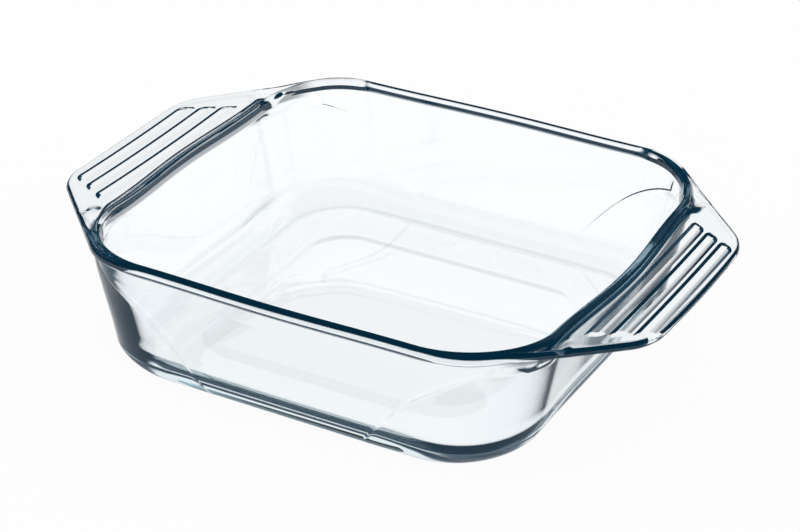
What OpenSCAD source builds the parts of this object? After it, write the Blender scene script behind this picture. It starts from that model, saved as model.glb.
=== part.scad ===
// Rectangular glass roasting dish, pressed in one piece: a drafted basin on a flat
// standing ring, a rolled bead round the rim and a grip ear at each end. The nodes are
// the forms of that one piece of glass and meet face to face. Millimetres, +Z up, with
// the origin on the table under the middle of the dish and the long way along X.

/* [Overall] */
// Length of the basin over its rim, at the middle of the short sides
rim_l = 273; // [255:1:300]
// Width over the rim, at the middle of the long sides
dish_w = 253; // [240:1:266]
// Height from the table to the top of the rim
dish_h = 75; // [62:1:90]

/* [Rim] */
// Corner radius of the rim, seen from above
rim_r = 54; // [46:1:60]
// Width of the rolled bead on the rim
bead_w = 5.6; // [5.2:0.1:6.6]
// Height of the bead over the top of the wall
bead_h = 5.5; // [4.5:0.1:7]
// Outward bow of a long side at the rim
long_bow = 1.5; // [0:0.1:3]
// Outward bow of a short side at the rim
short_bow = 3.5; // [0:0.1:5]
// How far the rim dips at the middle of each end
end_dip = 4.6; // [0:0.1:6]

/* [Walls] */
// Thickness of the walls
wall_t = 4.5; // [3.6:0.1:5]
// How far an end wall leans out between the bottom bend and the rim
end_draft = 11.5; // [6:0.5:15]
// How far a long wall leans out between the bottom bend and the rim
side_draft = 8; // [5:0.5:12]
// How much tighter the corners are at the bottom bend than at the rim
corner_draft = 5.5; // [2:0.5:8]
// Height of the bottom bend
bend_h = 15; // [12:1:18]
// How far the bottom bend tucks in under the wall
bend_in = 13; // [9:1:16]

/* [Floor] */
// Thickness of the floor over the standing ring
floor_t = 5; // [4:0.1:6]
// Width of the flat standing ring along the ends
ring_end_w = 21; // [12:1:30]
// Width of the flat standing ring along the long sides
ring_side_w = 28.5; // [15:0.5:34]
// Corner radius of the raised panel inside the ring
panel_r = 28; // [16:1:34]
// How far the panel stands clear of the table
panel_clear = 0.8; // [0.4:0.1:1.2]
// Height of the cove where the inside turns from wall to floor
cove_h = 17; // [13:1:20]
// How far the cove reaches in over the floor
cove_in = 19; // [14:1:22]

/* [Creases] */
// How far the corner stands proud of the long wall along its crease
crease_proud = 0.9; // [0.3:0.1:1.4]
// Width of the step at the crease
crease_step = 1.4; // [0.8:0.1:2.5]
// Distance of the crease's foot from the middle of the long side
crease_foot = 40; // [30:1:50]
// How far the crease leans towards the corner over its height
crease_lean = 52; // [42:1:60]
// How far it sweeps on round the corner under the ear
crease_sweep = 39; // [28:1:44]
// Height over which the step grows from its foot
crease_grow = 20; // [10:1:30]

/* [Ears] */
// How far an ear reaches out beyond the rim
ear_reach = 38.5; // [34:0.5:44]
// Thickness of the ears
ear_t = 4.8; // [4:0.1:6]
// Width of an ear's end, between its sharp corners
ear_end_w = 113; // [100:1:126]
// How far back from the rim's end an ear's flank leaves the long side
ear_root_back = 32.5; // [27:0.5:38]
// Radius where an ear's flank leaves the long side
ear_root_r = 37; // [30:1:44]
// Corner radius of an ear's end
ear_end_r = 29; // [20:1:34]
// Outward bow of an ear's end
ear_bow = 1.2; // [0:0.1:3]
// Rise of an ear from its root to its edge
ear_rise = 5; // [1:0.5:6]
// Rounding of an ear's edge
ear_edge = 1.2; // [0.6:0.1:1.6]

/* [Grip grooves] */
// Number of grooves under each ear
groove_n = 3; // [1:1:3]
// Width of the rib between two grooves
rib_w = 1.5; // [1:0.1:2.4]
// Depth of the grooves
groove_d = 2.5; // [1:0.1:3]
// Run of a groove's sloping side
groove_side = 2.5; // [0.8:0.1:3]
// Distance from the rim to the first groove
groove_root_gap = 4.4; // [3:0.1:8]
// Distance from the last groove to the ear's end
groove_end_gap = 3.5; // [3:0.5:6]
// Distance from the last groove's ends to the ear's flanks, along the groove
groove_flank_gap = 7.8; // [5:0.1:12]
// Angle between the line of the grooves' ends and the dish's length
groove_slant = 30; // [20:1:40]

/* [Hidden] */
glass = [0.78, 0.89, 0.91];

// Columns round a quarter: to the crease, on to the corner's end and along the short side,
// and the one where the ear starts
cols_to_crease = 9;
cols_to_corner = 10;
cols_to_end = 4;
cols_past_crease = cols_to_corner + cols_to_end;
cols = cols_to_crease + 1 + cols_past_crease;
ear_col = 5;
ear_cols = cols - ear_col;
// Powers that close the columns up towards the crease and the rings up towards the ear
col_power = 1.6;
ring_power = 1.6;
// Rings in the bottom bend, up the wall, down the inside and round the cove
bend_rings = 3;
wall_rings = 8;
inside_rings = 3;
cove_rings = 6;
foot_rings = 4;
bead_arc_steps = 6;
// Power of the crease's sweep, and of the fading of its step round the corner
crease_power = 6;
crease_fade_power = 1.5;
// Power of an ear's rise from its root
rise_power = 0.7;
// Places of the rows over an ear's root, as shares of the way to the grooves
ear_row_shares = [0.08, 0.4, 0.7];

bead_z = dish_h - bead_h;
ear_z = bead_z - ear_t;
bead_lip = (bead_w - wall_t) / 2;
// Half sizes of the wall's outside at its top and at the bend
top_hl = rim_l / 2 - short_bow - bead_lip;
top_hw = dish_w / 2 - long_bow - bead_lip;
top_r = rim_r - bead_lip;
bend_hl = top_hl - end_draft;
bend_hw = top_hw - side_draft;
bend_r = top_r - corner_draft;
dip_from = rim_l / 2 - short_bow - rim_r;
dip_to = rim_l / 2 - bead_w;

function held(v, low, high) = max(low, min(high, v));
function mix(a, b, t) = a + (b - a) * t;

// The rim and the ears dip towards the middle of each end, the floor doesn't
function dipped(p) =
    let (along = pow(held((abs(p.x) - dip_from) / (dip_to - dip_from), 0, 1), 2),
         across = max(0, 1 - pow(2 * p.y / dish_w, 2)),
         up = held((p.z - bend_h) / (dish_h - bend_h), 0, 1))
    [p.x, p.y, p.z - end_dip * along * across * up];

// Half length, half width, corner radius and share of the bow at height z, outside
function outside_at(z) =
    let (k = max(0, (z - bend_h) / (bead_z - bend_h)),
         q = max(0, (bend_h - z) / bend_h),
         tuck = bend_in * (1 - sqrt(1 - q * q)))
    [mix(bend_hl, top_hl, k) - tuck, mix(bend_hw, top_hw, k) - tuck,
     mix(bend_r, top_r, k) - tuck, k];
function inset(d, by) = [d[0] - by, d[1] - by, d[2] - by, d[3]];

// A point u of the way from the middle of a long side to the middle of a short side
function quarter_length(d) = d[0] - d[2] + d[2] * PI / 2 + d[1] - d[2];
function quarter_point(d, u) =
    let (s = u * quarter_length(d), s1 = d[0] - d[2], s2 = s1 + d[2] * PI / 2, s3 = d[1] - d[2])
    s < s1 ? [s, d[1] + d[3] * long_bow * (1 + cos(180 * s / s1)) / 2]
    : s < s2 ? let (a = (s - s1) / d[2] * 180 / PI) [s1 + d[2] * sin(a), s3 + d[2] * cos(a)]
    : let (q = held((s2 + s3 - s) / s3, 0, 1))
        [d[0] + d[3] * short_bow * (1 + cos(180 * q)) / 2, s3 * q];

// Where the columns stand at height z: one pair of them follows the crease
function crease_at(z) =
    let (t = held(z / ear_z, 0, 1))
    (crease_foot + crease_lean * t + crease_sweep * pow(t, crease_power))
        / quarter_length(outside_at(min(z, ear_z)));
function past_crease_at(z) =
    crease_at(z) + crease_step / quarter_length(outside_at(min(z, ear_z)));
function corner_end_at(z) =
    let (d = outside_at(min(z, ear_z))) 1 - (d[1] - d[2]) / quarter_length(d);
function column_at(z, k) =
    let (past = k - cols_to_crease - 1)
    k <= cols_to_crease ? crease_at(z) * (1 - pow(1 - k / cols_to_crease, col_power))
    : past <= cols_to_corner ? mix(past_crease_at(z), corner_end_at(z), past / cols_to_corner)
    : mix(corner_end_at(z), 1, (past - cols_to_corner) / cols_to_end);

// How far a column of the outside stands proud at height z
function proud_at(z, k) =
    k <= cols_to_crease || z > ear_z ? 0
    : crease_proud * min(1, z / crease_grow)
        * pow(1 - (k - cols_to_crease - 1) / cols_past_crease, crease_fade_power);

// A quarter of a ring with the outline d at height z, on the columns of height cz
function quarter(d, z, cz, proud = false) =
    [for (k = [0 : cols])
        let (p = quarter_point(inset(d, proud ? -proud_at(z, k) : 0), column_at(cz, k)))
        dipped([p.x, p.y, z])];
function ring(q) = concat(
    [for (k = [cols : -1 : 1]) q[k]],
    [for (k = [0 : cols - 1]) [-q[k].x, q[k].y, q[k].z]],
    [for (k = [cols : -1 : 1]) [-q[k].x, -q[k].y, q[k].z]],
    [for (k = [0 : cols - 1]) [q[k].x, -q[k].y, q[k].z]]);

// Faces between equal rings, one pair of triangles for each column
function band(n, a, b, flip) =
    [for (j = [0 : n - 1]) let (i = (j + 1) % n)
        each flip ? [[a + j, a + i, b + i], [a + j, b + i, b + j]]
                  : [[a + j, b + i, a + i], [a + j, b + j, b + i]]];

// A solid from rings that close on themselves, as a tube closes round its bore
module tube_solid(rings, flip = false) {
    n = len(rings[0]);
    m = len(rings);
    polyhedron([for (r = rings) each r],
        [for (i = [0 : m - 1]) each band(n, i * n, ((i + 1) % m) * n, flip)]);
}

// A solid from rings stacked from its flat underside to its flat top
module stacked_solid(rings) {
    n = len(rings[0]);
    m = len(rings);
    under = m * n;
    over = under + 1;
    polyhedron([for (r = rings) each r, [0, 0, rings[0][0].z], [0, 0, rings[m - 1][0].z]],
        concat([for (j = [0 : n - 1]) [under, j, (j + 1) % n]],
            [for (i = [0 : m - 2]) each band(n, i * n, (i + 1) * n, false)],
            [for (j = [0 : n - 1]) [over, (m - 1) * n + (j + 1) % n, (m - 1) * n + j]]));
}

// Outside of the wall, from the floor's upper face to the bead
outside_z = concat(
    [for (i = [0 : bend_rings]) mix(floor_t, bend_h, i / bend_rings)],
    [for (i = [1 : wall_rings]) mix(ear_z, bend_h, pow(1 - i / wall_rings, ring_power))],
    [bead_z]);
outside = [for (z = outside_z) quarter(outside_at(z), z, z, true)];

// Inside of the wall: straight down from the bead, then round the cove to the floor
cove_z = floor_t + cove_h;
function inside_at(z) = inset(outside_at(z), wall_t);
inside = concat(
    [for (i = [0 : inside_rings]) let (z = mix(bead_z, cove_z, i / inside_rings))
        quarter(inside_at(z), z, bead_z)],
    [for (i = [1 : cove_rings]) let (a = 90 * i / cove_rings, z = cove_z - cove_h * sin(a))
        quarter(inset(inside_at(cove_z), cove_in * (1 - cos(a))), z, bead_z)]);

// Floor: a slab that stands on a flat ring round a shallow panel
module base() {
    flat = outside_at(0);
    panel = [flat[0] - ring_end_w, flat[1] - ring_side_w, panel_r, 0];
    foot = [for (i = [0 : foot_rings - 1])
        let (a = mix(90, asin(1 - floor_t / bend_h), i / foot_rings), z = bend_h * (1 - sin(a)))
        ring(quarter(outside_at(z), z, floor_t))];
    color(glass)
    stacked_solid(concat(
        [ring(quarter(inset(panel, panel_clear), panel_clear, floor_t)),
         ring(quarter(panel, 0, floor_t))],
        foot,
        [ring(outside[0])]));
}

// Four drafted walls in one ring, creased at the corners
module side_wall() {
    color(glass)
    tube_solid([for (q = concat(outside, inside)) ring(q)]);
}

// Rolled bead: upright sides under a half round, on top of the wall
module rim_bead() {
    middle = inset(outside_at(bead_z), wall_t / 2);
    crown_z = dish_h - bead_w / 2;
    function bead_ring(out, z) = ring(quarter(inset(middle, -out), z, bead_z));
    color(glass)
    tube_solid(flip = true, concat(
        [ring(outside[len(outside) - 1]), ring(inside[0]), bead_ring(-bead_w / 2, bead_z)],
        [for (i = [0 : bead_arc_steps]) let (a = 180 - 180 * i / bead_arc_steps)
            bead_ring(bead_w / 2 * cos(a), crown_z + bead_w / 2 * sin(a))],
        [bead_ring(bead_w / 2, bead_z)]));
}

// Outline of an ear: a flank between the long side and the end, rounded at both corners
side_y = dish_w / 2 - long_bow;
tip_x = rim_l / 2 + ear_reach;
end_x = tip_x - ear_bow;
ear_root_x = rim_l / 2 - ear_root_back;
flank_a = atan2(side_y - ear_end_w / 2, end_x - ear_root_x);
root_arc_x = ear_root_x - ear_root_r * tan(flank_a / 2);
end_arc_x = end_x - ear_end_r;
end_arc_y = ear_end_w / 2 - ear_end_r * tan((90 - flank_a) / 2);
function flank_y(x) =
    x < root_arc_x + ear_root_r * sin(flank_a)
        ? side_y - ear_root_r + sqrt(pow(ear_root_r, 2) - pow(max(0, x - root_arc_x), 2))
    : x < end_arc_x + ear_end_r * sin(flank_a) ? side_y - (x - ear_root_x) * tan(flank_a)
    : end_arc_y + sqrt(max(0, pow(ear_end_r, 2) - pow(x - end_arc_x, 2)));
function bowed(x, y) =
    let (share = held((x - rim_l / 2) / (end_x - rim_l / 2), 0, 1))
    [x + share * ear_bow * (1 - pow(held(abs(2 * y) / ear_end_w, 0, 1), 2)), y];

// Height of an ear's upper face: low along the rim, rising to its edge
bead_outline = inset(outside_at(bead_z), -bead_lip);
function rim_distance(p) =
    let (qx = abs(p.x) - bead_outline[0] + bead_outline[2],
         qy = abs(p.y) - bead_outline[1] + bead_outline[2])
    norm([max(qx, 0), max(qy, 0)]) + min(max(qx, qy), 0) - bead_outline[2];
function edge_distance(p) =
    min(tip_x - p.x,
        (ear_root_x - p.x) * sin(flank_a) + (side_y - abs(p.y)) * cos(flank_a));
function ear_top(p) =
    let (d = max(0, rim_distance(p)), e = max(0, edge_distance(p)))
    bead_z + (d + e > 0 ? ear_rise * pow(d / (d + e), rise_power) : 0);

// Rows across an ear: [distance from the middle of the dish, depth of the groove there]
grooves_x = rim_l / 2 + groove_root_gap;
grooves_end_x = end_x - groove_end_gap;
groove_w = (grooves_end_x - grooves_x - (groove_n - 1) * rib_w) / groove_n;
groove_pitch = groove_w + rib_w;
grip_rows = [for (g = [0 : groove_n - 1]) let (x = grooves_x + g * groove_pitch)
    each [[x, 0], [x + groove_side, groove_d], [x + groove_w - groove_side, groove_d],
          [x + groove_w, 0]]];

// Half the length of a groove at a distance x from the middle of the dish
function groove_half(x) =
    flank_y(grooves_end_x) - groove_flank_gap + (grooves_end_x - x) * tan(groove_slant);

// Column j of an ear, from its flank at 0 to its middle, at a distance x from the middle
function ear_column_y(x, j) =
    j == 0 ? flank_y(x)
    : j == 1 ? flank_y(x) - ear_edge / cos(flank_a)
    : j == 2 ? groove_half(x)
    : (groove_half(x) - groove_side / cos(groove_slant)) * (ear_cols - j) / (ear_cols - 3);
function root_row(start, spine, j, t) =
    let (p = mix(start, spine, t)) j < 2 ? [p.x, ear_column_y(p.x, j)] : [p.x, p.y];

// One column of an ear as a closed loop: root, upper face, edge, and back underneath
function ear_loop(j) =
    let (k = ear_col + j,
         wall_low = outside[len(outside) - 2][k],
         wall_high = outside[len(outside) - 1][k],
         lip = quarter_point(bead_outline, column_at(bead_z, k)),
         low = [wall_low.x, wall_low.y],
         spine = [grooves_x, ear_column_y(grooves_x, j)],
         edge_drop = j == 0 ? ear_edge : 0,
         grooved = j < 3 ? 0 : 1,
         inset_x = end_x - ear_edge,
         over = [for (t = ear_row_shares) root_row(lip, spine, j, t)],
         under = [for (t = ear_row_shares) root_row(low, spine, j, t)],
         grip = [for (r = grip_rows) bowed(r[0], ear_column_y(r[0], j))],
         last = bowed(inset_x, ear_column_y(inset_x, j)),
         rim = bowed(end_x, ear_column_y(end_x, j)))
    concat(
        [wall_low, wall_high, dipped([lip.x, lip.y, bead_z])],
        [for (p = concat(over, grip, [last])) dipped([p.x, p.y, ear_top(p) - edge_drop])],
        [dipped([rim.x, rim.y, ear_top(rim) - ear_edge]),
         dipped([rim.x, rim.y, ear_top(rim) - ear_t + ear_edge]),
         dipped([last.x, last.y, ear_top(last) - ear_t + edge_drop])],
        [for (i = [len(grip) - 1 : -1 : 0]) let (p = grip[i])
            dipped([p.x, p.y, ear_top(p) - ear_t + edge_drop + grooved * grip_rows[i][1]])],
        [for (i = [len(under) - 1 : -1 : 0]) let (p = under[i])
            dipped([p.x, p.y, ear_top(p) - ear_t + edge_drop])]);

// Faces of the flank, between the upper and the lower half of its loop
function flank_faces(a, n, flip) =
    let (half = n / 2 - 0.5)
    concat(
        [flip ? [a, a + 1, a + 2] : [a, a + 2, a + 1]],
        [for (i = [0 : half - 2])
            let (u = a + 2 + i, v = a + 3 + i, w = a + (n - i) % n, x = a + n - 1 - i)
            each flip ? [[w, u, v], [w, v, x]] : [[w, v, u], [w, x, v]]]);

// Grip ear at the right-hand end, from the flank at -Y round to the flank at +Y
module ear() {
    halves = [for (j = [0 : ear_cols]) ear_loop(j)];
    loops = concat(
        [for (j = [0 : ear_cols]) [for (p = halves[j]) [p.x, -p.y, p.z]]],
        [for (j = [ear_cols - 1 : -1 : 0]) halves[j]]);
    n = len(loops[0]);
    last = (len(loops) - 1) * n;
    polyhedron([for (l = loops) each l],
        concat(flank_faces(0, n, true),
            [for (i = [0 : len(loops) - 2]) each band(n, i * n, (i + 1) * n, false)],
            flank_faces(last, n, false)));
}

module right_handle() {
    color(glass) ear();
}

module left_handle() {
    color(glass) rotate([0, 0, 180]) ear();
}

base();
side_wall();
rim_bead();
left_handle();
right_handle();
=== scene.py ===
import math

import bmesh
import bpy
import numpy as np
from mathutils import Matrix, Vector


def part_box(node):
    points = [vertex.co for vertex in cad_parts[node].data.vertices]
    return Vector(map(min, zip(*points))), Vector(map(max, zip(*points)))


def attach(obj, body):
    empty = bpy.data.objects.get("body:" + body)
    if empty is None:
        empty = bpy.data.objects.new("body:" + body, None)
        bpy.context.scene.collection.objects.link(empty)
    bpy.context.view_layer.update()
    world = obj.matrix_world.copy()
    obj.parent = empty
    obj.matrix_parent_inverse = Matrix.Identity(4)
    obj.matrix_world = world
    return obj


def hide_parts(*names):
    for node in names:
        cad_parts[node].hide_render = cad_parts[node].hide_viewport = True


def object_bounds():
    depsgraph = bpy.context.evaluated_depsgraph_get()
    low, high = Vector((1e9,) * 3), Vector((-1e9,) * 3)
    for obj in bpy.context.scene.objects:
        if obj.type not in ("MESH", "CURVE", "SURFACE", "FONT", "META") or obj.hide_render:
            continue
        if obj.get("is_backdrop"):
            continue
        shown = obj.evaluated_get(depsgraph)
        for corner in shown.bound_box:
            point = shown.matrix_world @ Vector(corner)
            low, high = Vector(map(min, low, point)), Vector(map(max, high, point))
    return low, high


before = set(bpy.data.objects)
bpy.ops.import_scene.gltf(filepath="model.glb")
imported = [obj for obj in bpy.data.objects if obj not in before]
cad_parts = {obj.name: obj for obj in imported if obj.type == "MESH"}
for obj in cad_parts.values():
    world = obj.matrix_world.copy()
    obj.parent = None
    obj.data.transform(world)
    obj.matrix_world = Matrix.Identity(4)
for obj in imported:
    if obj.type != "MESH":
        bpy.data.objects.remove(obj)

bl_info = {
    "name": "Pressed Glass Roasting Dish",
    "version": (1, 0, 0),
    "blender": (4, 5, 0),
    "location": "View3D > Sidebar > Dish",
    "description": "Builds a pressed glass roasting dish, its grip grooves and a small studio",
    "category": "Add Mesh",
}

CAD_LOW, CAD_HIGH = (Vector(corner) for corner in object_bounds())
BEAD_LOW, BEAD_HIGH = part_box("rim_bead")
EAR_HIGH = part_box("right_handle")[1]
DISH = "dish_glass"


def amount(name, default, about, **more):
    return bpy.props.FloatProperty(name=name, description=about, default=default, **more)


def length(name, default, about):
    """A length in metres."""
    return amount(name, default, about, unit="LENGTH", precision=4)


def colour(name, default, about, **more):
    return bpy.props.FloatVectorProperty(
        name=name, description=about, default=default, subtype="COLOR", size=3, **more
    )


class DishSizes(bpy.types.PropertyGroup):
    height: length("Height", CAD_HIGH.z, "From the table to the top of the rim")
    rim_length: length("Rim length", BEAD_HIGH.x - BEAD_LOW.x, "Basin over its rim, along X")
    rim_width: length("Rim width", BEAD_HIGH.y - BEAD_LOW.y, "Basin over its rim, along Y")
    corner_radius: length("Corner radius", 0.054, "Corner of the rim, seen from above")
    long_bow: length("Long bow", 0.0015, "Outward bow of a long side at the rim")
    short_bow: length("Short bow", 0.0035, "Outward bow of a short side at the rim")
    end_dip: length("End dip", 0.0046, "Dip of the rim at the middle of each end")
    bead_radius: length("Bead radius", 0.0028, "Half the width of the rolled bead")
    bead_depth: length("Bead depth", 0.0051, "From the top of the rim to the bead's lower edge")
    wall: length("Wall", 0.0045, "Thickness of the walls")
    end_draft: length("End draft", 0.0115, "Lean of an end wall over its height")
    side_draft: length("Side draft", 0.008, "Lean of a long wall over its height")
    corner_draft: length("Corner draft", 0.0055, "How much tighter the corners are at the bend")
    bend_height: length("Bend height", 0.015, "Height of the bottom bend")
    bend_tuck: length("Bend tuck", 0.013, "How far the bottom bend tucks in")
    floor: length("Floor", 0.005, "Thickness of the floor")
    cove_height: length("Cove height", 0.017, "Height of the cove inside")
    cove_reach: length("Cove reach", 0.019, "How far the cove reaches in over the floor")
    ring_end: length("Ring at the ends", 0.021, "Width of the standing ring along the ends")
    ring_side: length("Ring at the sides", 0.0285, "Width of the standing ring along the sides")
    panel_radius: length("Panel radius", 0.028, "Corner of the raised panel underneath")
    panel_clear: length("Panel clearance", 0.0005, "How far the panel stands clear of the table")
    corner_bulge: length("Corner bulge", 0.0029, "How far the wall swells out at a corner")
    crease_proud: length("Crease", -0.0011, "How far a corner stands proud past its crease, or back")
    crease_step: length("Crease step", 0.0026, "Width of the step at the crease")
    crease_foot: length("Crease foot", 0.04, "Crease's foot from the middle of the long side")
    crease_lean: length("Crease lean", 0.052, "Lean of the crease towards the corner")
    crease_sweep: length("Crease sweep", 0.039, "How far the crease sweeps on round the corner")
    crease_grow: length("Crease growth", 0.03, "Height over which the step grows from its foot")
    ear_end: length("Ear end", 0.113, "Width of an ear's end between its sharp corners")
    ear_root_back: length("Ear root", 0.0325, "Where a flank starts, back from the rim's end")
    ear_root_radius: length("Ear root radius", 0.037, "Radius where a flank leaves the long side")
    ear_end_radius: length("Ear corner radius", 0.029, "Corner radius of an ear's end")
    ear_bow: length("Ear bow", 0.0012, "Outward bow of an ear's end")
    ear_thick: length("Ear thickness", 0.0048, "Thickness of an ear")
    ear_valley: length("Ear valley", 0.0058, "Depth of the valley beside the rim at an ear's roots")
    ear_dell: length("Ear dell", 0.0006, "Depth of the same valley along an ear's middle")
    ear_rise: length("Ear rise", 0.007, "Run of the slope from the valley up to an ear's face")
    ear_edge_down: length("Ear edge", 0.0005, "How far an ear's face lies below the rim")
    ear_fillet: length("Ear fillet", 0.005, "Fillet where an ear's underside meets the wall")


class GripSizes(bpy.types.PropertyGroup):
    grooves: bpy.props.IntProperty(
        name="Grooves", description="Number of grooves under each ear", default=3, min=1, max=3
    )
    width: length("Groove width", 0.0088, "Width of a groove")
    rib: length("Rib", 0.0015, "Width of the rib between two grooves")
    depth: length("Groove depth", 0.0026, "Depth of a groove")
    side: length("Groove side", 0.0026, "Run of a groove's sloping side")
    end_gap: length("End gap", 0.0035, "From the last groove to the ear's end")
    inner_half: length("Inner half", 0.0675, "Half the length of the grooves next to the rim")
    outer_half: length("Outer half", 0.0503, "Half the length of the grooves at the ear's end")
    corner: length("Groove corner", 0.003, "Corner radius of a groove, seen from above")


class GlassLook(bpy.types.PropertyGroup):
    ior: amount("IOR", 1.48, "Refraction of the glass")
    tint: colour("Tint", (0.05, 0.47, 0.62), "Colour that a long way through the glass keeps")
    depth: amount("Depth", 8.0, "Absorption per metre of glass")
    roughness: amount("Roughness", 0.004, "Roughness of the fire-polished skin", subtype="FACTOR")
    ripple: length("Ripple", 0.00002, "Height of the faint ripple of pressed glass")
    # Painted shade: the navy tint and navy glow of a mirror that is mixed into the glass where it
    # mirrors the light inside itself, and the heights and Fresnel shares over which that painted
    # shade sets in
    edge: colour("Edge", (0.003, 0.03, 0.055), "Colour where the glass mirrors the light inside it")
    painted_navy_glow: colour("Deep", (0.001, 0.019, 0.038), "Colour where no light comes through the glass")
    painted_shade_foot: length("Edge foot", 0.010, "Height where the edge colour sets in")
    painted_shade_full: length("Edge full", 0.023, "Height where the edge colour is full")
    painted_shade_from: amount("Edge from", 0.08, "Fresnel share where that colour sets in")
    painted_shade_to: amount("Edge to", 0.55, "Fresnel share where that colour is full")


class StudioLook(bpy.types.PropertyGroup):
    floor_colour: colour("Floor", (1.0, 1.0, 1.0), "Colour of the floor and the backdrop")
    sky: colour("Dark sky", (0.004, 0.035, 0.065), "What the glass mirrors above the backdrop")
    matt_sky: amount("Sky light", 0.7, "Brightness of the sky on matt things")
    glass_sees: colour(
        "Seen in glass", (1.04, 1.05, 1.06), "How bright the stage is seen through glass",
        soft_max=2,
    )
    shade: colour(
        "Shade", (0.004, 0.040, 0.075), "Floor round the dish where the glass mirrors it"
    )
    shade_core: amount("Shade core", 0.35, "Slant of the light at which that shade is full")
    shade_reach: amount("Shade reach", 0.5, "Slant of the light at which that shade ends")
    shade_outside: amount(
        "Shade outside", 0.5, "Share of that shade in a reflection off the outside",
        subtype="FACTOR",
    )
    floor_lit: amount(
        "Lit share", 0.05, "Share of the floor's look that takes the light", subtype="FACTOR"
    )
    stage_radius: length("Stage radius", 3.0, "Radius of the round floor")
    wall_height: length("Backdrop height", 2.2, "Height of the white wall round the floor")
    wall_sweep: amount(
        "Backdrop sweep", math.radians(360), "How far the wall goes round the dish",
        subtype="ANGLE",
    )
    lamp_power: amount("Lamp", 0.6, "Power of each soft lamp", unit="POWER")


# Camera and lamps, in metres, with the lens and its sensor in millimetres
CAMERA = (0.5637, -0.9946, 0.6785)
TARGET = (0.0101, -0.0132, 0.0457)
LENS = 110.8
SENSOR = 36
CLIP_END = 50
LAMPS = (
    ("lamp_left", (-1.4, -0.3, 1.3), (0.7, 0.9)),
    ("lamp_back", (0.5, 1.6, 1.5), (1.2, 0.6)),
)

# How finely the meshes are cut
STAGE_SIDES = 96
SIDE_STEP = 0.004
CORNER_STEP = 0.0014
END_STEP = 0.002
CREASE_COLUMNS = 5
FLOOR_SHARES = (0.25, 0.5, 0.75)
COVE_RINGS = 14
INSIDE_RINGS = 10
INNER_POINTS = 26
OUTER_POINTS = 70
WALL_RINGS = 36
BEND_RINGS = 12
PANEL_RINGS = 6
GROOVE_ROWS = 16
GROOVE_STATIONS = 64

# How finely the lines are drawn that the mesh is cut from
SECTION_STEP = 0.0001
OUTLINE_POINTS = 200
CROWN_POINTS = 80
BEAD_POINTS = 60
FACE_POINTS = 200
EDGE_POINTS = 160
LEAST_POINTS = 8
LEAST_STEP = 1e-7
LEAST_CROSS = 1e-12
RAY_SLACK = 1e-6

# The rim's section: softness of its corners, pull of the points to its curls, and its shape
SECTION_SOFT = 0.0003
SOFT_REACH = 3
SECTION_CURL = 0.006
SECTION_DROP = 0.0145
SECTION_JOIN = 0.0085
NECK_FILLET = 0.0008
CROWN_INSIDE = 0.0024
WAIST = 0.0008
BEAD_SQUARE = 0.35
VALLEY_FILLET = 0.0019
VALLEY_REACH = 1.6
VALLEY_FADES = (0.008, 0.026)
LEAST_FOOT = 0.0008
STEEPEST_RAMP = 1.0
LEAST_LEAN = 0.4

# The crease's sweep and fade, and the corner's bulge: stations where it is full and where it
# ends, how far its foot draws in, and the height over which it grows
CREASE_POWER = 6
CREASE_FADE = 1.5
BULGE_FULL = 1.68
BULGE_END = 2.6
BULGE_FOOT = 0.35
BULGE_GROW = 0.014

# The panel underneath and the grooves' blocks
PANEL_STEP = 0.009
END_SLANT = 0.86
CUTTER_DEPTH = 0.006
CUTTER_EDGE = 0.3
SHARP_ANGLE = math.radians(32)

# The ripple's noise: scales per metre, roughness, detail and the share of the fine one
BROAD_RIPPLE = (38.0, 0.45)
FINE_RIPPLE = (160.0, 0.5)
RIPPLE_DETAIL = 2.0
FINE_SHARE = 0.12

# The Mix node's sockets for colours
MIX_FIRST, MIX_SECOND, MIX_RESULT = 6, 7, 2

# Light's passes through glass, each half a pass under a whole count
ONE_PASS = 0.5
THREE_PASSES = 2.5

# Where the rim's glass is painted with navy shade, at the ears' roots and the lip's lower corner:
# out from the crown, under the top, and along X, each from clear to dark, then the share at a
# root and how much a corner counts as higher
ROOT_IN = (-0.0004, 0.0006)
ROOT_OUT = (0.0056, 0.0048)
ROOT_ENDS = (0.116, 0.126)
ROOT_SHARE = 0.6
CORNER_LIFT = 0.06
ROOT_TOP = (0.0032, 0.004)
ROOT_FOOT = (0.0094, 0.008)
LIP_IN = (0.0012, 0.0016)
LIP_OUT = (0.004, 0.0036)
LIP_TOP = (0.0039, 0.0043)
LIP_FOOT = (0.0068, 0.0064)


def held(value, low=0.0, high=1.0):
    return np.minimum(np.maximum(value, low), high)


def eased(value):
    t = held(value)
    return t * t * (3 - 2 * t)


def fillet_rise(radius, distance):
    """How far a fillet stands over its floor, at a distance out from its wall."""
    return radius - np.sqrt(np.maximum(radius**2 - held(radius - distance, 0, radius) ** 2, 0))


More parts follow.
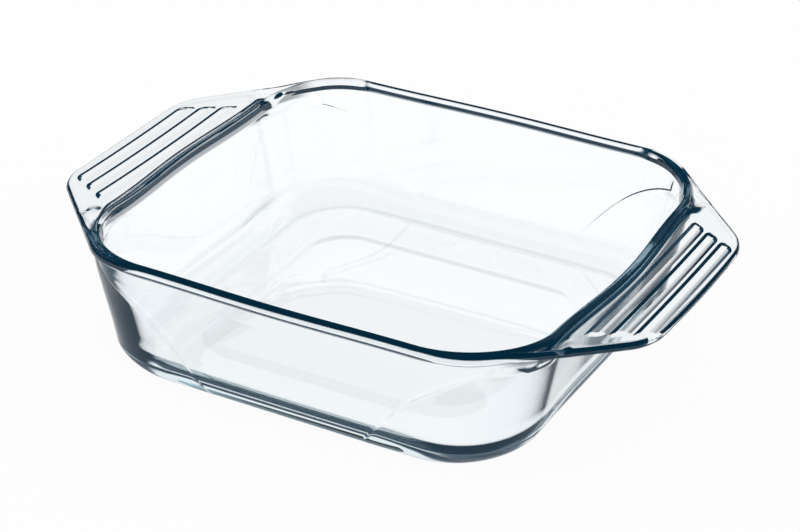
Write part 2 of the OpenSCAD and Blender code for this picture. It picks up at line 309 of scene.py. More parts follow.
class Outline:
    """A rounded rectangle with bowed sides, in the quarter where x and y are positive.

    A station runs from 0 at a long side's middle over 1 and 2 at the corner's two ends
    to 3 at an end's middle.
    """

    def __init__(self, half_length, half_width, radius, long_bow=0.0, short_bow=0.0):
        self.half_length, self.half_width, self.radius = half_length, half_width, radius
        self.long_bow, self.short_bow = long_bow, short_bow
        self.side = half_length - radius
        self.corner = radius * math.pi / 2
        self.end = half_width - radius
        self.runs = (0, self.side, self.side + self.corner, self.side + self.corner + self.end)

    def inset(self, by):
        plan = (size - by for size in (self.half_length, self.half_width, self.radius))
        return Outline(*plan, self.long_bow, self.short_bow)

    def station(self, run):
        return np.interp(run, self.runs, (0, 1, 2, 3))

    def points(self, station):
        """Points and outward normals at stations."""
        s = np.asarray(station, float)
        along, back = held(s), held(3 - s)
        turn = held(s - 1) * math.pi / 2
        long_out = self.long_bow * (1 + np.cos(math.pi * along)) / 2
        short_out = self.short_bow * (1 + np.cos(math.pi * back)) / 2
        x = self.side * along + self.radius * np.sin(turn) + short_out
        y = self.end * back + self.radius * np.cos(turn) + long_out
        lean_long = self.long_bow * math.pi / 2 / self.side * np.sin(math.pi * along)
        lean_short = self.short_bow * math.pi / 2 / self.end * np.sin(math.pi * back)
        nx = np.sin(turn) + np.where(s < 1, lean_long, 0.0)
        ny = np.cos(turn) + np.where(s > 2, lean_short, 0.0)
        size = np.hypot(nx, ny)
        return np.stack([x, y], -1), np.stack([nx / size, ny / size], -1)


class Form:
    """The dish's shape, worked out from its sizes."""

    def __init__(self, sizes):
        self.sizes = sizes
        self.bead_z = sizes.height - sizes.bead_depth
        self.lip = sizes.bead_radius - sizes.wall / 2
        self.top = (
            sizes.rim_length / 2 - sizes.short_bow - self.lip,
            sizes.rim_width / 2 - sizes.long_bow - self.lip,
            sizes.corner_radius - self.lip,
        )
        self.bend = (
            self.top[0] - sizes.end_draft,
            self.top[1] - sizes.side_draft,
            self.top[2] - sizes.corner_draft,
        )
        self.neck_z = sizes.height - SECTION_DROP
        self.crown = self.outside(self.bead_z).inset(sizes.wall / 2)
        self.dip_from = sizes.rim_length / 2 - sizes.short_bow - sizes.corner_radius
        self.dip_to = sizes.rim_length / 2 - 2 * sizes.bead_radius

    def outside(self, height):
        """Outline of the wall's outside at a height."""
        sizes = self.sizes
        k = max(0.0, (height - sizes.bend_height) / (self.bead_z - sizes.bend_height))
        q = max(0.0, (sizes.bend_height - height) / sizes.bend_height)
        tuck = sizes.bend_tuck * (1 - math.sqrt(1 - q * q))
        plan = [low + (high - low) * k - tuck for low, high in zip(self.bend, self.top)]
        return Outline(*plan, sizes.long_bow * k, sizes.short_bow * k)

    def inside(self, height):
        """Outline of the wall's inside at a height."""
        return self.outside(height).inset(self.sizes.wall)

    def dipped(self, points):
        """The rim and the ears dip towards the middle of each end, the floor doesn't."""
        sizes = self.sizes
        along = held((np.abs(points[..., 0]) - self.dip_from) / (self.dip_to - self.dip_from)) ** 2
        across = held(1 - (2 * points[..., 1] / sizes.rim_width) ** 2)
        up = held((points[..., 2] - sizes.bend_height) / (sizes.height - sizes.bend_height))
        out = points.copy()
        out[..., 2] -= sizes.end_dip * along * across * up
        return out

    def crease(self, height):
        """Stations where the crease's step starts and ends at a height."""
        sizes = self.sizes
        t = min(1.0, height / (self.bead_z - sizes.ear_thick))
        run = sizes.crease_foot + sizes.crease_lean * t + sizes.crease_sweep * t**CREASE_POWER
        return self.outside(height).station((run, run + sizes.crease_step))

    def proud(self, stations, height):
        """How far the outside stands proud at stations of a height's outline.

        The crease's step is the fine part of it, and the corner's bulge the broad one.
        """
        sizes = self.sizes
        low, high = self.crease(height)
        step = eased((stations - low) / (high - low))
        fade = (1 - held((stations - high) / (3 - high))) ** CREASE_FADE
        line = sizes.crease_proud * step * fade * eased(height / sizes.crease_grow)
        across = eased((stations - low) / (BULGE_FULL - low))
        across = across * eased((BULGE_END - stations) / (BULGE_END - BULGE_FULL))
        up = (1 + BULGE_FOOT) * eased(height / BULGE_GROW) - BULGE_FOOT
        return line + sizes.corner_bulge * across * up

    def columns(self):
        """Stations of a quarter's columns, finest at the crease's step."""
        rim = self.crown
        step = np.interp(self.crease(self.neck_z), (0, 1, 2, 3), rim.runs)
        stops = (0, rim.side, *step, rim.runs[2], rim.runs[3])
        steps = (SIDE_STEP, CORNER_STEP, 0, CORNER_STEP, END_STEP)
        runs = []
        for start, end, wide in zip(stops, stops[1:], steps):
            count = round((end - start) / wide) if wide else CREASE_COLUMNS
            runs.append(np.linspace(start, end, max(2, count), endpoint=False))
        return rim.station(np.concatenate([*runs, [stops[-1]]]))

    def leaned(self, stations, height):
        """The columns' stations at a height: they lean with the crease."""
        top, here = self.crease(self.neck_z), self.crease(height)
        return np.interp(stations, (0, *top, 3), (0, *here, 3))


def ear_outline(form):
    """Outline of the right ear as a fine polyline, from the long side to the end's middle."""
    sizes = form.sizes
    side_y = sizes.rim_width / 2 - sizes.long_bow
    end_x = EAR_HIGH[0] - sizes.ear_bow
    root_x = sizes.rim_length / 2 - sizes.ear_root_back
    flank = math.atan2(side_y - sizes.ear_end / 2, end_x - root_x)
    start_x = root_x - sizes.ear_root_radius * math.tan(flank / 2)
    arc_x = end_x - sizes.ear_end_radius
    arc_y = sizes.ear_end / 2 - sizes.ear_end_radius * math.tan((math.pi / 2 - flank) / 2)
    turn = np.linspace(0, flank, OUTLINE_POINTS)
    root = np.stack([
        start_x + sizes.ear_root_radius * np.sin(turn),
        side_y - sizes.ear_root_radius * (1 - np.cos(turn)),
    ], -1)
    turn = np.linspace(flank, math.pi / 2, OUTLINE_POINTS)
    corner = np.stack([
        arc_x + sizes.ear_end_radius * np.sin(turn), arc_y + sizes.ear_end_radius * np.cos(turn)
    ], -1)
    end_y = np.linspace(arc_y, -arc_y, OUTLINE_POINTS)
    end = np.stack([np.full(OUTLINE_POINTS, end_x), end_y], -1)
    line = np.concatenate([[[0.0, side_y]], root, corner, end[1:]])
    share = held((line[:, 0] - sizes.rim_length / 2) / (end_x - sizes.rim_length / 2))
    line[:, 0] += share * sizes.ear_bow * (1 - held(np.abs(2 * line[:, 1]) / sizes.ear_end) ** 2)
    return line


def rays_to(line, starts, ways):
    """Distance along each ray to the polyline, and the line's lean to the ray there."""
    a, edge = line[:-1], np.diff(line, axis=0)
    distance, lean = np.zeros(len(starts)), np.ones(len(starts))
    for i, (p, w) in enumerate(zip(starts, ways)):
        cross = w[0] * edge[:, 1] - w[1] * edge[:, 0]
        cross = np.where(np.abs(cross) < LEAST_CROSS, LEAST_CROSS, cross)
        gap = a - p
        t = (gap[:, 0] * edge[:, 1] - gap[:, 1] * edge[:, 0]) / cross
        u = (gap[:, 0] * w[1] - gap[:, 1] * w[0]) / cross
        good = (t > 0) & (u > -RAY_SLACK) & (u < 1 + RAY_SLACK)
        if good.any():
            j = np.argmin(np.where(good, t, np.inf))
            distance[i] = t[j]
            lean[i] = abs(cross[j]) / np.hypot(*edge[j])
    return distance, np.maximum(lean, LEAST_LEAN)


def softened(line, soft):
    """The polyline at even steps with its corners rounded, and the run at each step."""
    run = np.concatenate([[0], np.cumsum(np.hypot(*np.diff(line, axis=0).T))])
    even = np.linspace(0, run[-1], max(LEAST_POINTS, round(run[-1] / SECTION_STEP)))
    line = np.stack([np.interp(even, run, line[:, i]) for i in (0, 1)], -1)
    reach = round(SOFT_REACH * soft / SECTION_STEP)
    weights = np.exp(-0.5 * (np.arange(-reach, reach + 1) * SECTION_STEP / soft) ** 2)
    weights /= weights.sum()
    before = 2 * line[0] - line[reach:0:-1]
    after = 2 * line[-1] - line[-2:-reach - 2:-1]
    padded = np.concatenate([before, line, after])
    return np.stack([np.convolve(padded[:, i], weights, "valid") for i in (0, 1)], -1), even


def ear_ramp(sizes, width, lean, distance):
    """An ear's upper face under the crown at a distance out from it, and the ear's edge.

    Gives the face's height, where the edge's round starts, the round's radius, how much
    of a whole ear there is, from 0 at the plain bead to 1, and the valley's depth.
    """
    full = eased((width - sizes.bead_radius) / (2 * sizes.bead_radius))
    edge_r = sizes.bead_radius + (sizes.ear_thick / 2 - sizes.bead_radius) * full
    reach = np.maximum(width - edge_r / lean, 0)
    fading = eased((width - VALLEY_FADES[0]) / (VALLEY_FADES[1] - VALLEY_FADES[0]))
    depth = sizes.ear_valley + (sizes.ear_dell - sizes.ear_valley) * fading
    rise = depth - sizes.ear_edge_down
    valley = VALLEY_REACH * sizes.bead_radius
    brow = np.minimum(valley + sizes.ear_rise, reach)
    run = np.maximum(brow - valley, rise / STEEPEST_RAMP)
    ramp = -sizes.ear_edge_down * full - rise / run * np.maximum(brow - distance, 0)
    return np.maximum(ramp, -depth), reach, edge_r, full, depth


def section_line(sizes, width, lean, inner_foot, outer_foot):
    """Polyline up the inside of the wall, over the bead, out over an ear and back.

    Points are (distance out from the crown, height under it). Where there is no ear the
    width is the bead's radius. Gives the run from the line's foot to the crown too.
    """
    r, neck = sizes.bead_radius, sizes.wall / 2
    turn = np.linspace(0, math.pi / 2, CROWN_POINTS)
    inner = np.concatenate([
        [(inner_foot, -SECTION_DROP)],
        np.stack([-neck * np.cos(turn), CROWN_INSIDE * (np.sin(turn) - 1)], -1),
    ])

    reach = ear_ramp(sizes, width, lean, 0.0)[1]
    beside = min(r, reach)
    out = np.concatenate([
        np.linspace(0, beside, BEAD_POINTS), np.linspace(beside, reach, FACE_POINTS)
    ])
    ramp, reach, edge_r, full, depth = ear_ramp(sizes, width, lean, out)
    bead = np.where(out < r, np.sqrt(np.maximum(r * r - out * out, 0)) - r, -sizes.height)
    valley = fillet_rise(VALLEY_FILLET, out - r) - depth
    top = np.maximum(np.maximum(bead, ramp), np.where(out < r, -sizes.height, valley)) * full
    edge_top = -sizes.ear_edge_down * full
    turn = np.linspace(math.pi / 2, -math.pi / 2, EDGE_POINTS)
    power = np.where(turn < 0, BEAD_SQUARE + (1 - BEAD_SQUARE) * full, 1)
    under = sizes.bead_depth - sizes.bead_radius
    under += (sizes.ear_thick / 2 - under) * full
    edge = np.stack([
        reach + (width - reach) * np.cos(turn) ** power,
        edge_top - edge_r + np.where(turn < 0, under, edge_r)
        * np.sign(turn) * np.abs(np.sin(turn)) ** power,
    ], -1)
    lower = np.concatenate([
        edge[turn < 0], np.stack([out, ramp - edge_r - under], -1)[::-1]
    ])
    neck -= WAIST
    last = np.interp(neck, lower[::-1, 0], lower[::-1, 1])
    lower = np.concatenate([lower[lower[:, 0] > neck], [(neck, last)]])
    fillet = NECK_FILLET + (sizes.ear_fillet - NECK_FILLET) * full
    fillet = min(fillet, SECTION_DROP - LEAST_FOOT + last)
    lower[:, 1] -= fillet_rise(fillet, lower[:, 0] - neck)
    line = np.concatenate([
        inner, np.stack([out, top], -1), edge[turn >= 0], lower, [(outer_foot, -SECTION_DROP)]
    ])
    steps = np.hypot(*np.diff(line, axis=0).T)
    line = line[np.concatenate([[True], steps > LEAST_STEP])]
    return line, np.hypot(*np.diff(inner, axis=0).T).sum()


def section(sizes, *column):
    """Points of a cross-section, closest where it curls, and their runs from both feet."""
    line, crown_run = section_line(sizes, *column)
    line, run = softened(line, SECTION_SOFT)
    way = np.gradient(line, run, axis=0)
    curl = np.hypot(*np.gradient(way, run, axis=0).T)
    weight = np.concatenate([[0], np.cumsum((1 + SECTION_CURL * curl)[1:])])
    crown = np.interp(crown_run, run, weight)
    marks = np.concatenate([
        np.linspace(0, crown, INNER_POINTS, endpoint=False),
        np.linspace(crown, weight[-1], OUTER_POINTS),
    ])
    at = np.interp(marks, weight, run)
    return np.stack([np.interp(at, run, line[:, i]) for i in (0, 1)], -1), at, run[-1] - at


class Ears:
    """How far the ears stand out from the rim's crown, column by column."""

    def __init__(self, form, stations):
        self.form = form
        self.starts, self.ways = form.crown.points(stations)
        distance, self.lean = rays_to(ear_outline(form), self.starts, self.ways)
        self.width = np.maximum(distance, form.sizes.bead_radius)
        self.runs = np.interp(stations, (0, 1, 2, 3), form.crown.runs)

    def underside(self, x, y):
        """Height of an ear's underside at points of the first quarter."""
        rim = self.form.crown
        turn = np.arctan2(x - rim.side, np.maximum(y - rim.end, 0))
        run = rim.side + rim.radius * turn + np.maximum(rim.end - y, 0)
        start = [np.interp(run, self.runs, self.starts[:, i]) for i in (0, 1)]
        distance = np.hypot(x - start[0], y - start[1])
        width, lean = (np.interp(run, self.runs, row) for row in (self.width, self.lean))
        sizes = self.form.sizes
        return sizes.height + ear_ramp(sizes, width, lean, distance)[0] - sizes.ear_thick


def rim_rows(form, stations, ears, inner_row, outer_row):
    """Rows up the inside of the neck, over the rim and the ears, and back to the wall."""
    sizes = form.sizes
    inner_foot = np.einsum("ij,ij->i", inner_row[:, :2] - ears.starts, ears.ways)
    outer_line = form.outside(form.neck_z).points(stations)[0]
    outer_foot = np.einsum("ij,ij->i", outer_line - ears.starts, ears.ways)
    built = [
        section(sizes, *column)
        for column in zip(ears.width, ears.lean, inner_foot, outer_foot)
    ]
    rows = []
    for i in range(INNER_POINTS + OUTER_POINTS):
        reach, high = np.array([line[i] for line, _, _ in built]).T
        flat = ears.starts + ears.ways * reach[:, None]
        rows.append(form.dipped(np.column_stack([flat, sizes.height + high])))
    gaps = inner_row - rows[0], outer_row - rows[-1]
    for i, row in enumerate(rows):
        for gap, which in zip(gaps, (1, 2)):
            away = np.array([parts[which][i] for parts in built])
            row += gap * eased(1 - away / SECTION_JOIN)[:, None]
    return rows


def dish_rows(form, stations, ears):
    """Rows of a quarter, from the middle of the floor over the rim to underneath."""
    sizes = form.sizes

    def level(outline, height):
        points = outline.points(stations)[0]
        return form.dipped(np.column_stack([points, np.full(len(points), height)]))

    def outer(height):
        at = form.leaned(stations, height)
        points, ways = form.outside(height).points(at)
        points = points + ways * form.proud(at, height)[:, None]
        return form.dipped(np.column_stack([points, np.full(len(points), height)]))

    cove_top = sizes.floor + sizes.cove_height
    cove = form.inside(cove_top)
    rows = [level(cove.inset(sizes.cove_reach), sizes.floor) * (k, k, 1) for k in FLOOR_SHARES]
    for turn in np.linspace(0, math.pi / 2, COVE_RINGS):
        drop = sizes.cove_height * math.cos(turn)
        rows.append(level(cove.inset(sizes.cove_reach * (1 - math.sin(turn))), cove_top - drop))
    for height in np.linspace(cove_top, form.neck_z, INSIDE_RINGS)[1:]:
        rows.append(level(form.inside(height), height))
    walls = [outer(h) for h in np.linspace(form.neck_z, sizes.bend_height, WALL_RINGS)]
    rows += rim_rows(form, stations, ears, rows[-1], walls[0])[1:] + walls[1:]
    for turn in np.linspace(0, math.pi / 2, BEND_RINGS)[1:]:
        rows.append(outer(sizes.bend_height * (1 - math.sin(turn))))
    foot = form.outside(0)
    half_length = foot.half_length - sizes.ring_end
    half_width = foot.half_width - sizes.ring_side
    panel = Outline(half_length, half_width, sizes.panel_radius)
    rows.append((rows[-1] + level(panel, 0)) / 2)
    for k in np.linspace(0, 1, PANEL_RINGS):
        rows.append(level(panel.inset(PANEL_STEP * k), sizes.panel_clear * eased(k)))
    rows += [rows[-1] * (k, k, 1) for k in FLOOR_SHARES[::-1]]
    return rows


def whole_ring(quarter):
    """A quarter's row, mirrored into a closed ring."""
    return np.concatenate([
        quarter[::-1], quarter[1:] * (-1, 1, 1), quarter[-2::-1] * (-1, -1, 1),
        quarter[1:-1] * (1, -1, 1),
    ])


def grid_faces(rows, count, closed):
    """Quads between rows of points, each row closed on itself or open."""
    return [
        (i * count + j, i * count + (j + 1) % count,
         (i + 1) * count + (j + 1) % count, (i + 1) * count + j)
        for i in range(rows - 1) for j in range(count if closed else count - 1)
    ]


def new_mesh(name, vertices, faces):
    mesh = bpy.data.meshes.new(name)
    mesh.from_pydata([tuple(map(float, v)) for v in vertices], [], faces)
    return mesh


def solid(name, vertices, faces):
    """A closed mesh object with its normals outward."""
    mesh = new_mesh(name, vertices, faces)
    work = bmesh.new()
    work.from_mesh(mesh)
    bmesh.ops.recalc_face_normals(work, faces=work.faces)
    work.to_mesh(mesh)
    work.free()
    piece = bpy.data.objects.new(name, mesh)
    bpy.context.scene.collection.objects.link(piece)
    return piece


def build_dish(sizes):
    """The whole dish as one closed skin of glass."""
    form = Form(sizes)
    stations = form.columns()
    rings = [whole_ring(row) for row in dish_rows(form, stations, Ears(form, stations))]
    count = len(rings[0])
    vertices = np.concatenate([
        *rings, [(0, 0, rings[0][0][2]), (0, 0, rings[-1][0][2])]
    ])
    faces = grid_faces(len(rings), count, closed=True)
    for middle, start in ((-2, 0), (-1, (len(rings) - 1) * count)):
        for j in range(count):
            faces.append((len(vertices) + middle, start + j, start + (j + 1) % count))
    return solid(DISH, vertices, faces)


def groove(form, ears, grip, number, side):
    """Points and faces of the block that one groove takes out of an ear's underside."""
    sizes = form.sizes
    whole = grip.grooves * (grip.width + grip.rib) - grip.rib
    near = EAR_HIGH[0] - sizes.ear_bow - grip.end_gap - whole + number * (grip.width + grip.rib)
    across = (1 - np.cos(np.linspace(0, math.pi, GROOVE_ROWS))) / 2
    shares = np.sin(np.linspace(-math.pi / 2, math.pi / 2, GROOVE_STATIONS))[:, None]
    over = CUTTER_EDGE * grip.side
    wide = grip.width + 2 * over
    x = np.broadcast_to(near - over + wide * across, (GROOVE_STATIONS, GROOVE_ROWS))
    outward = (x - near + number * (grip.width + grip.rib)) / whole
    half = grip.inner_half + (grip.outer_half - grip.inner_half) * outward + over / END_SLANT
    y = shares * half
    from_side = wide * np.broadcast_to(np.minimum(across, 1 - across), x.shape) - over
    from_end = (1 - np.abs(shares)) * half * END_SLANT - over
    in_corner = np.hypot(*(held(grip.corner - d, 0, grip.corner) for d in (from_side, from_end)))
    margin = np.minimum(np.minimum(from_side, from_end), grip.corner - in_corner)
    depth = grip.depth * held(margin / grip.side, -CUTTER_EDGE)
    low = ears.underside(x, np.abs(y))
    blocks = [
        form.dipped(np.stack([x, y, low + up], -1).reshape(-1, 3)) * (side, 1, 1)
        for up in (depth, -CUTTER_DEPTH)
    ]
    n, m, all_points = GROOVE_ROWS, GROOVE_STATIONS, GROOVE_ROWS * GROOVE_STATIONS
    top = grid_faces(m, n, closed=False)
    border = [*range(n), *(i * n + n - 1 for i in range(1, m))]
    border += range((m - 1) * n + n - 2, (m - 1) * n - 1, -1)
    border += (i * n for i in range(m - 2, 0, -1))
    skirt = [
        (b, a, a + all_points, b + all_points) for a, b in zip(border, border[1:] + border[:1])
    ]
    under = [tuple(v + all_points for v in reversed(face)) for face in top]
    return np.concatenate(blocks), top + under + skirt


def build_cutter(sizes, grip):
    """All the grooves' blocks as one object."""
    form = Form(sizes)
    ears = Ears(form, form.columns())
    vertices, faces = np.empty((0, 3)), []
    for side in (-1, 1):
        for number in range(grip.grooves):
            points, block = groove(form, ears, grip, number, side)
            faces += [tuple(v + len(vertices) for v in face) for face in block]
            vertices = np.concatenate([vertices, points])
    return solid("grip_cutter", vertices, faces)


class Socket:
    """A shader socket that takes part in expressions."""

    def __init__(self, tree, socket):
        self.tree, self.socket = tree, socket

    def node(self, kind, settings=None, inputs=None):
        """Adds a node: its settings first, then its sockets' values or links."""
        node = self.tree.nodes.new(kind)
        for key, value in (settings or {}).items():
            setattr(node, key, value)
        for key, value in (inputs or {}).items():
            if isinstance(value, Socket):
                self.tree.links.new(value.socket, node.inputs[key])
            else:
                node.inputs[key].default_value = value
        return node

    def out(self, node, name=0):
        return Socket(self.tree, node.outputs[name])

    def maths(self, operation, first, second):
        return self.out(self.node("ShaderNodeMath", {"operation": operation}, {0: first, 1: second}))

    def __add__(self, other):
        return self.maths("ADD", self, other)

    __radd__ = __add__

    def __mul__(self, other):
        return self.maths("MULTIPLY", self, other)

    __rmul__ = __mul__

    def __sub__(self, other):
        return self.maths("SUBTRACT", self, other)

    def __rsub__(self, other):
        return self.maths("SUBTRACT", other, self)

    def at_least(self, other):
        return self.maths("MAXIMUM", self, other)

    def at_most(self, other):
        return self.maths("MINIMUM", self, other)

    def above(self, other):
        return self.maths("GREATER_THAN", self, other)

    def size(self):
        return self.at_least(0 - self)

    def cosine(self):
        return self.maths("COSINE", self, 0.0)

    def square_root(self):
        return self.maths("POWER", self, 0.5)

    def between(self, low, high):
        """0 up to the low value and 1 from the high one, or the other way round."""
        return self.out(self.node("ShaderNodeMapRange", {"interpolation_type": "SMOOTHSTEP"}, {
            "Value": self, "From Min": low, "From Max": high,
        }))

    def colours(self, first, second):
        """From the first colour at 0 to the second at 1."""
        first, second = (c if isinstance(c, Socket) else (*c, 1) for c in (first, second))
        return self.out(self.node("ShaderNodeMix", {"data_type": "RGBA"}, {
            "Factor": self, MIX_FIRST: first, MIX_SECOND: second,
        }), MIX_RESULT)


def fresh_tree(owner, output_kind):
    """An emptied node tree with its output node."""
    owner.use_nodes = True
    owner.node_tree.nodes.clear()
    tree = Socket(owner.node_tree, None)
    return tree, tree.node(output_kind)


def rim_place(x, y, z, form):
    """Sockets: distance out from the rim's crown, depth under the rim's top, corner share."""
    rim, sizes = form.crown, form.sizes
    far, wide = x.size(), y.size()

    def bow(run, whole, depth):
        turn = (run * (math.pi / whole)).at_most(math.pi)
        return (turn.cosine() + 1) * (depth / 2)

    past = (far - bow(wide, rim.end, rim.short_bow) - rim.side).at_least(0.0)
    beside = (wide - bow(far, rim.side, rim.long_bow) - rim.end).at_least(0.0)
    away = (past * past + beside * beside).square_root() - rim.radius
    along = (far - form.dip_from) * (1 / (form.dip_to - form.dip_from))
    along = along.at_least(0.0).at_most(1.0)
    across = (1 - wide * wide * (4 / sizes.rim_width**2)).at_least(0.0)
    under = sizes.height - z - along * along * across * sizes.end_dip
    return away, under, past * beside * (2 / rim.radius**2)


def glass_material(look, form):
    """Clear glass with a faint ripple, and navy painted shade where it mirrors the light inside
    itself, faded out low down, and painted by place at the ears' roots and under the lip.
    """
    material = bpy.data.materials.new("pressed_glass")
    tree, output = fresh_tree(material, "ShaderNodeOutputMaterial")
    place = tree.out(tree.node("ShaderNodeTexCoord"), "Object")
    broad, fine = (
        tree.out(tree.node("ShaderNodeTexNoise", {}, {
            "Vector": place, "Scale": scale, "Detail": RIPPLE_DETAIL, "Roughness": rough,
        }))
        for scale, rough in (BROAD_RIPPLE, FINE_RIPPLE)
    )
    bump = tree.node("ShaderNodeBump", {}, {
        "Height": broad + fine * FINE_SHARE, "Distance": look.ripple, "Strength": 1.0,
    })
    skin = tree.node("ShaderNodeBsdfPrincipled", {}, {
        "Base Color": (1, 1, 1, 1), "Roughness": look.roughness, "IOR": look.ior,
        "Transmission Weight": 1.0, "Normal": tree.out(bump),
    })
    inside = tree.node("ShaderNodeVolumeAbsorption", {}, {
        "Color": (*look.tint, 1), "Density": look.depth,
    })
    # Painted shade: a navy metallic mirror that also glows navy, though it is no lamp
    painted_shade_mirror = tree.node("ShaderNodeBsdfPrincipled", {}, {
        "Base Color": (*look.edge, 1), "Metallic": 1.0, "Roughness": look.roughness,
        "Emission Color": (*look.painted_navy_glow, 1), "Emission Strength": 1.0,
    })
    fresnel = tree.out(tree.node("ShaderNodeFresnel", {}, {"IOR": look.ior}))
    parts = tree.node("ShaderNodeSeparateXYZ", {}, {0: place})
    x, y, z = (tree.out(parts, axis) for axis in "XYZ")
    away, under, corner = rim_place(x, y, z, form)
    within = tree.out(tree.node("ShaderNodeNewGeometry"), "Backfacing")
    # Painted shade on the glass's inner reflections, by Fresnel on back faces, faded out towards the
    # foot and less so at the corners
    grazing = fresnel.between(look.painted_shade_from, look.painted_shade_to) * within
    tall = (z + corner * CORNER_LIFT).between(look.painted_shade_foot, look.painted_shade_full)
    # Painted shade by place, not by optics: navy under the ears' roots and at the lip's lower corner
    root = away.between(*ROOT_IN) * away.between(*ROOT_OUT) * x.size().between(*ROOT_ENDS)
    root = root * under.between(*ROOT_TOP) * under.between(*ROOT_FOOT) * ROOT_SHARE
    lip = away.between(*LIP_IN) * away.between(*LIP_OUT)
    lip = lip * under.between(*LIP_TOP) * under.between(*LIP_FOOT)
    owner = material.node_tree
    # Where any of these masks is high, the clear glass gives way to the painted shade
    both = tree.node("ShaderNodeMixShader", {}, {
        0: (grazing * tall).at_least(root).at_least(lip),
        1: tree.out(skin), 2: tree.out(painted_shade_mirror),
    })
    owner.links.new(both.outputs[0], output.inputs["Surface"])
    owner.links.new(inside.outputs[0], output.inputs["Volume"])
    return material


def floor_in_glass(tree, path, look):
    """White, and dark where the glass mirrors the floor close round the dish."""
    facing = tree.out(tree.node("ShaderNodeLayerWeight", {}, {"Blend": 0.5}), "Facing")
    steep = facing.between(look.shade_reach, look.shade_core)
    passed = tree.out(path, "Transmission Depth")
    share = passed.above(ONE_PASS) * (1 - look.shade_outside) + look.shade_outside
    share = share - passed.above(THREE_PASSES)
    return (steep * share * tree.out(path, "Glossy Depth")).colours(look.glass_sees, look.shade)


def wall_in_glass(tree, path, look):
    """White, and dark where the rim's skin or the inside of its glass mirrors it."""
    passed = tree.out(path, "Transmission Depth")
    clear = passed.above(THREE_PASSES)
    clear = clear.at_least(passed.above(ONE_PASS) * tree.out(path, "Is Glossy Ray"))
    return clear.at_least(1 - tree.out(path, "Glossy Depth")).colours(look.sky, look.glass_sees)


def stage_material(name, look, in_glass):
    """A white that glows by itself and also takes the lamps' light and the shadow."""
    material = bpy.data.materials.new(name)
    tree, output = fresh_tree(material, "ShaderNodeOutputMaterial")
    path = tree.node("ShaderNodeLightPath")
    seen = tree.out(path, "Is Camera Ray")
    shown = seen.colours(in_glass(tree, path, look), look.floor_colour)
    glow = tree.out(tree.node("ShaderNodeEmission", {}, {"Color": shown}))
    matt = tree.out(tree.node("ShaderNodeBsdfDiffuse", {}, {"Color": (*look.floor_colour, 1)}))
    both = tree.node("ShaderNodeMixShader", {}, {0: look.floor_lit, 1: glow, 2: matt})
    material.node_tree.links.new(both.outputs[0], output.inputs["Surface"])
    return material


def world_material(look):
    """White for the camera, dim grey for matt things, dark blue in glass and mirrors."""
    world = bpy.data.worlds.new("studio_world")
    tree, output = fresh_tree(world, "ShaderNodeOutputWorld")
    path = tree.node("ShaderNodeLightPath")
    mirrored = tree.out(path, "Is Glossy Ray").at_least(tree.out(path, "Is Transmission Ray"))
    grey = tree.out(path, "Is Camera Ray").colours((look.matt_sky,) * 3, (1, 1, 1))
    shown = mirrored.colours(grey, look.sky)
    sky = tree.node("ShaderNodeBackground", {}, {"Color": shown, "Strength": 1.0})
    world.node_tree.links.new(sky.outputs[0], output.inputs["Surface"])
    return world


def circle(turn, radius):
    return np.stack([np.cos(turn), np.sin(turn), np.zeros(len(turn))], -1) * radius


def stage_meshes(look):
    """A round white floor with a white wall round it."""
    turn = np.linspace(0, 2 * math.pi, STAGE_SIDES, endpoint=False)
    floor = new_mesh("studio_floor", circle(turn, look.stage_radius), [tuple(range(STAGE_SIDES))])
    away = math.atan2(TARGET[1] - CAMERA[1], TARGET[0] - CAMERA[0])
    foot = circle(away + look.wall_sweep * np.linspace(-0.5, 0.5, STAGE_SIDES), look.stage_radius)
    points = np.concatenate([foot, foot + (0, 0, look.wall_height)])
    return floor, new_mesh("studio_wall", points, grid_faces(2, STAGE_SIDES, closed=False))


def aimed(name, data, place):
    """An object for a lamp or a camera at a place, turned to the dish."""
    holder = bpy.data.objects.new(name, data)
    holder.location = place
    holder.rotation_euler = (Vector(TARGET) - Vector(place)).to_track_quat("-Z", "Y").to_euler()
    bpy.context.scene.collection.objects.link(holder)
    return holder


def soft_lamp(name, place, size, power):
    lamp = bpy.data.lights.new(name, "AREA")
    lamp.shape, lamp.size, lamp.size_y = "RECTANGLE", *size
    lamp.energy = power
    aimed(name, lamp, place)


class DISH_OT_press(bpy.types.Operator):
    """Press the dish: basin, rim and both ears as one skin of glass"""
    bl_idname = "dish.press"
    bl_label = "Press the dish"

    def execute(self, context):
        piece = build_dish(context.scene.dish_sizes)
        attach(piece, "root")
        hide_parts("base", "side_wall", "rim_bead", "left_handle", "right_handle")
        return {"FINISHED"}


class DISH_OT_grips(bpy.types.Operator):
    """Cut the grooves into the undersides of the ears"""
    bl_idname = "dish.grips"
    bl_label = "Cut the grip grooves"

    def execute(self, context):
        scene = context.scene
        piece = bpy.data.objects[DISH]
        before = len(piece.data.vertices)
        cutter = build_cutter(scene.dish_sizes, scene.dish_grips)
        cut = piece.modifiers.new("grooves", "BOOLEAN")
        cut.operation, cut.object, cut.solver = "DIFFERENCE", cutter, "EXACT"
        mesh = bpy.data.meshes.new_from_object(
            piece.evaluated_get(context.evaluated_depsgraph_get())
        )
        piece.modifiers.remove(cut)
        piece.data = mesh
        bpy.data.objects.remove(cutter)
        if len(mesh.vertices) <= before:
            raise RuntimeError("the grooves cut nothing")
        mesh.shade_smooth()
        mesh.set_sharp_from_angle(angle=SHARP_ANGLE)
        return {"FINISHED"}


class DISH_OT_glass(bpy.types.Operator):
    """Give the dish its glass"""
    bl_idname = "dish.glass"
    bl_label = "Finish the glass"

    def execute(self, context):
        mesh = bpy.data.objects[DISH].data
        mesh.materials.clear()
        form = Form(context.scene.dish_sizes)
        mesh.materials.append(glass_material(context.scene.dish_glass_look, form))
        return {"FINISHED"}


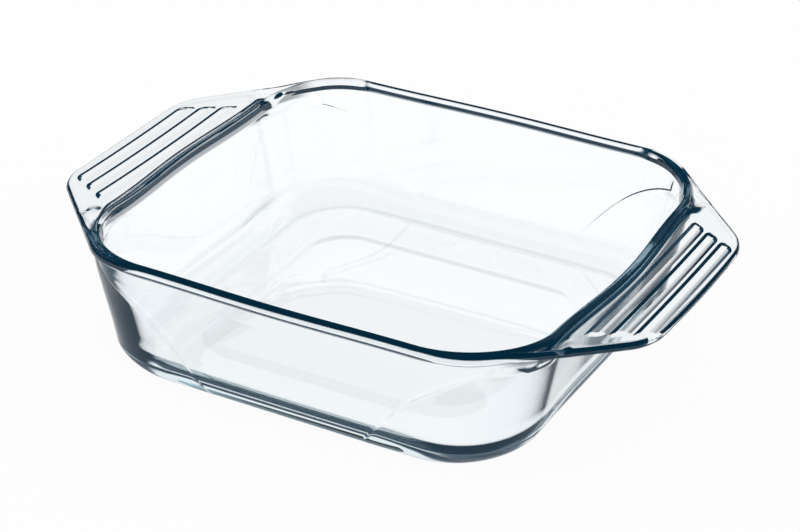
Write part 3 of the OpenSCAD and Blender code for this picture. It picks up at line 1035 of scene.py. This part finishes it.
class DISH_OT_studio(bpy.types.Operator):
    """Set up the floor, the backdrop, the lamps and the camera"""
    bl_idname = "dish.studio"
    bl_label = "Set up the studio"

    def execute(self, context):
        scene = context.scene
        look = scene.dish_studio
        for mesh, in_glass in zip(stage_meshes(look), (floor_in_glass, wall_in_glass)):
            mesh.materials.append(stage_material(mesh.name, look, in_glass))
            holder = bpy.data.objects.new(mesh.name, mesh)
            scene.collection.objects.link(holder)
            holder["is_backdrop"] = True
        scene.world = world_material(look)
        for name, place, size in LAMPS:
            soft_lamp(name, place, size, look.lamp_power)
        camera = bpy.data.cameras.new("studio_camera")
        camera.lens, camera.sensor_width, camera.clip_end = LENS, SENSOR, CLIP_END
        scene.camera = aimed("studio_camera", camera, CAMERA)
        scene.view_settings.view_transform = "Standard"
        return {"FINISHED"}


class DISH_PT_panel(bpy.types.Panel):
    """Sizes and looks, with a button for each step"""
    bl_label = "Roasting dish"
    bl_idname = "DISH_PT_panel"
    bl_space_type = "VIEW_3D"
    bl_region_type = "UI"
    bl_category = "Dish"

    def draw(self, context):
        for step in STEPS:
            self.layout.operator(step.bl_idname)
        for group in GROUPS:
            box = self.layout.box()
            for name in GROUPS[group].__annotations__:
                box.prop(getattr(context.scene, group), name)


STEPS = (DISH_OT_press, DISH_OT_grips, DISH_OT_glass, DISH_OT_studio)
GROUPS = {
    "dish_sizes": DishSizes,
    "dish_grips": GripSizes,
    "dish_glass_look": GlassLook,
    "dish_studio": StudioLook,
}


def register():
    for each in (*GROUPS.values(), *STEPS, DISH_PT_panel):
        bpy.utils.register_class(each)
    for name, group in GROUPS.items():
        setattr(bpy.types.Scene, name, bpy.props.PointerProperty(type=group))


def unregister():
    for name in GROUPS:
        delattr(bpy.types.Scene, name)
    for each in (DISH_PT_panel, *reversed(STEPS), *GROUPS.values()):
        bpy.utils.unregister_class(each)


def main():
    register()
    bpy.ops.dish.press()
    bpy.ops.dish.grips()
    bpy.ops.dish.glass()
    bpy.ops.dish.studio()


if __name__ == "__main__":
    main()
